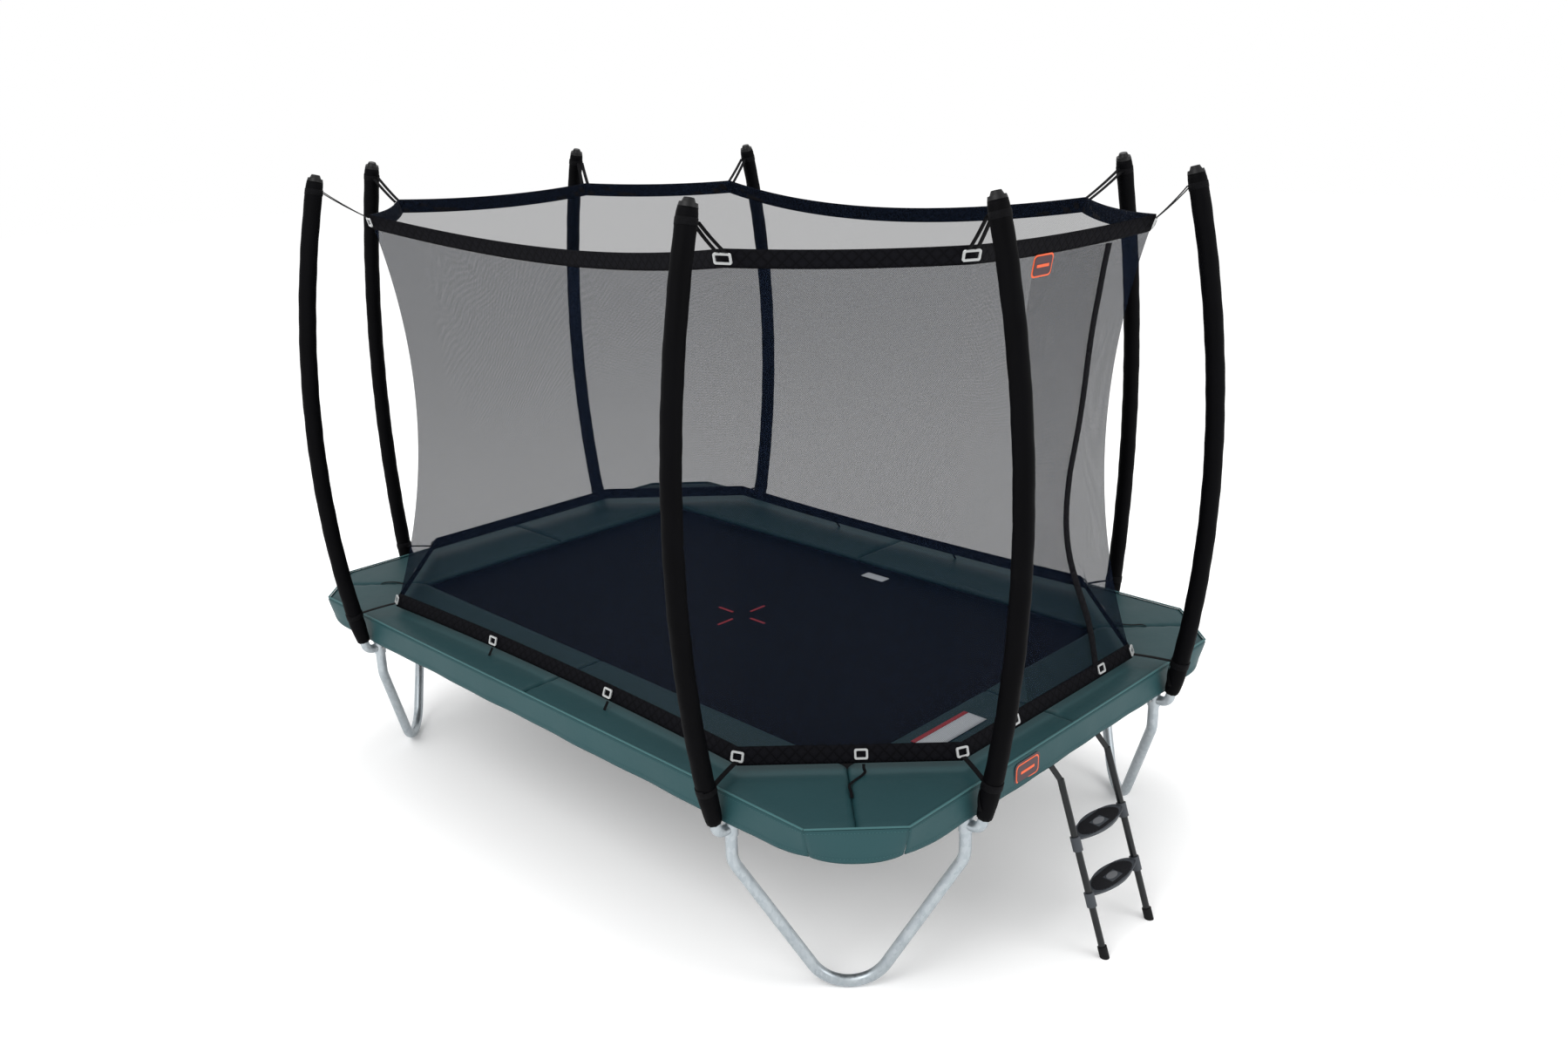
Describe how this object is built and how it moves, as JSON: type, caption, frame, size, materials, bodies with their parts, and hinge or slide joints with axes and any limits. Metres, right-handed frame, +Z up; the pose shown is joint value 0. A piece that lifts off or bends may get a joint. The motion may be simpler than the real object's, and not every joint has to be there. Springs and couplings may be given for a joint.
{
  "type": "trampoline",
  "caption": "Rectangular garden trampoline with a padded edge, bent legs, a netted enclosure on curved padded poles and a hook-on ladder.",
  "frame": {"origin": "on the floor under the middle of the frame", "axes": "+Z up, +X along the long side towards the ladder, -Y out of the front long side"},
  "size_m": [3.8849, 2.718, 2.6701],
  "materials": {
    "frame_steel": "galvanised",
    "leg_steel": "galvanised",
    "screw_steel": "zinc plated",
    "sleeve_foam": "foam in a woven sleeve",
    "cap_plastic": "moulded",
    "net_mesh": "fine knitted mesh",
    "band_fabric": "quilted band",
    "strap_webbing": "woven webbing",
    "buckle_plastic": "clear grey",
    "pad_cover": "coated fabric, semi gloss",
    "pad_foam": "closed cell foam",
    "mat_fabric": "woven band",
    "spring_steel": "zinc plated",
    "ladder_paint": "powder coat",
    "step_plastic": "moulded, ribbed",
    "foot_rubber": "moulded"
  },
  "bodies": {
    "frame": {"bottom_band": "band_fabric", "bottom_buckles": "buckle_plastic", "bottom_straps": "strap_webbing", "curtain_lower": "net_mesh", "curtain_middle": "net_mesh", "curtain_upper": "net_mesh", "frame_corner_back_left": "frame_steel", "frame_corner_back_right": "frame_steel", "frame_corner_front_left": "frame_steel", "frame_corner_front_right": "frame_steel", "frame_rail_back": "frame_steel", "frame_rail_front": "frame_steel", "frame_rail_left": "frame_steel", "frame_rail_right": "frame_steel", "leg_back_left": "leg_steel", "leg_back_right": "leg_steel", "leg_front_left": "leg_steel", "leg_front_right": "leg_steel", "leg_sockets": "frame_steel", "net_back": "net_mesh", "net_corner_back_left": "net_mesh", "net_corner_back_right": "net_mesh", "net_corner_front_left": "net_mesh", "net_corner_front_right": "net_mesh", "net_door_inner": "net_mesh", "net_door_side": "net_mesh", "net_front": "net_mesh", "net_left": "net_mesh", "pad_back_left": "pad_cover", "pad_back_right": "pad_cover", "pad_foam": "pad_foam", "pad_front_left": "pad_cover", "pad_front_right": "pad_cover", "pad_left_back": "pad_cover", "pad_left_front": "pad_cover", "pad_right_back": "pad_cover", "pad_right_front": "pad_cover", "pole_caps": "cap_plastic", "pole_elbows": "leg_steel", "pole_sleeves": "sleeve_foam", "pole_tubes": "frame_steel", "skirt_back": "pad_cover", "skirt_corners": "pad_cover", "skirt_front": "pad_cover", "skirt_left": "pad_cover", "skirt_right": "pad_cover", "socket_screws": "screw_steel", "springs": "spring_steel", "top_band": "band_fabric", "top_buckles": "buckle_plastic", "top_straps": "strap_webbing"},
    "mat": {"mat": "mat_fabric", "mat_rings": "spring_steel"},
    "ladder": {"ladder_rail_front": "ladder_paint", "ladder_rail_back": "ladder_paint", "ladder_step_lower": "step_plastic", "ladder_step_upper": "step_plastic", "ladder_feet": "foot_rubber"},
    "door_webbing": {"door_webbing": "strap_webbing"}
  },
  "joints": [
    {"name": "mat_drop", "type": "slide", "parent": "frame", "child": "mat", "axis": [0, 0, 1], "range_m": [-0.2, 0], "stiffness_N_per_m": 4000, "springref_m": 0.05, "deforming": ["springs"]},
    {"name": "ladder_swing", "type": "hinge", "parent": "frame", "child": "ladder", "pos_m": [1.688, -0.006, 0.728], "axis": [0, -1, 0], "range_deg": [0, 35], "deforming": ["skirt_right"]},
    {"name": "door_draw", "type": "slide", "parent": "frame", "child": "door_webbing", "axis": [0, -1, 0], "range_m": [0, 0.3], "stiffness_N_per_m": 30, "deforming": ["curtain_lower", "curtain_middle", "curtain_upper"]}
  ]
}
